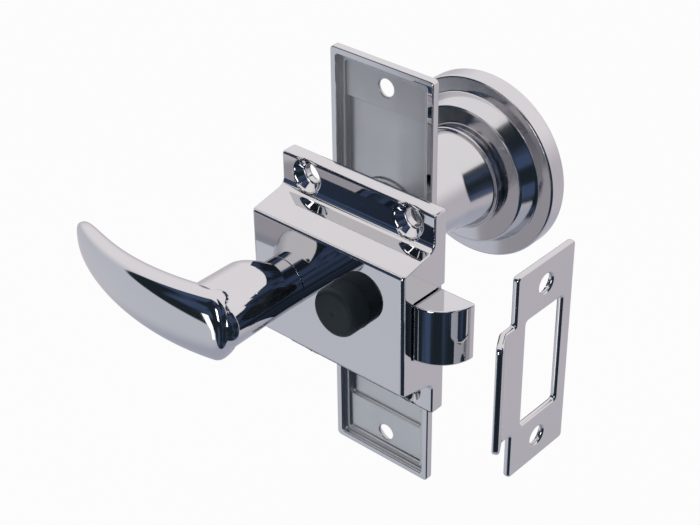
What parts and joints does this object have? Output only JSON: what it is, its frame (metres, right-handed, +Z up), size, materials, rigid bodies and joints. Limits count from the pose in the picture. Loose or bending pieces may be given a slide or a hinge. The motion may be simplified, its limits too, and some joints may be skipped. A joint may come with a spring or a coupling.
{
  "type": "rim latch",
  "caption": "Surface rim latch: cast case with a lever and push-button lock inside, rounded spring bolt, outside plate with a turned knob on a square spindle, and a loose strike plate.",
  "frame": {"origin": "centre of the four case screws, on the inner face of the door", "axes": "+X along the case towards the bolt, +Y through the door to the outside, +Z up"},
  "size_m": [0.1225, 0.1094, 0.1186],
  "materials": {
    "chrome": "polished chrome plate",
    "steel": "bright zinc plate",
    "brass": "machined",
    "black_plastic": "moulded, satin gloss"
  },
  "bodies": {
    "case": {"case_shell": "chrome", "back_cover": "steel", "cover_screws": "steel", "lever_bush": "brass", "follower_washer": "brass", "bolt_spring": "steel", "lock_snap_ring": "steel", "outside_plate": "chrome", "knob_bush": "brass", "knob_washer": "steel", "strike_plate": "chrome"},
    "handle_set": {"lever_handle": "chrome", "lever_grub_screw": "steel", "spindle": "steel", "follower": "brass", "follower_pin": "steel", "knob": "chrome", "knob_grub_screw": "steel", "knob_circlip": "steel"},
    "latch": {"latch_bolt": "chrome", "spring_guide": "steel"},
    "lock": {"lock_button": "black_plastic", "lock_pin": "steel"}
  },
  "joints": [
    {"name": "lever_turn", "type": "hinge", "parent": "case", "child": "handle_set", "pos_m": [-0.0134, 0, 0], "axis": [0, -1, 0], "range_deg": [0, 49], "stiffness_Nm_per_rad": 0.288, "springref_deg": -20.91},
    {"name": "latch_slide", "type": "slide", "parent": "case", "child": "latch", "axis": [-1, 0, 0], "range_m": [0, 0.0094], "deforming": ["bolt_spring"]},
    {"name": "lock_push", "type": "slide", "parent": "case", "child": "lock", "axis": [0, 1, 0], "range_m": [0, 0.002]}
  ],
  "couplings": [
    {"joint": "latch_slide", "follows": "lever_turn", "m_per_rad": 0.010959}
  ]
}
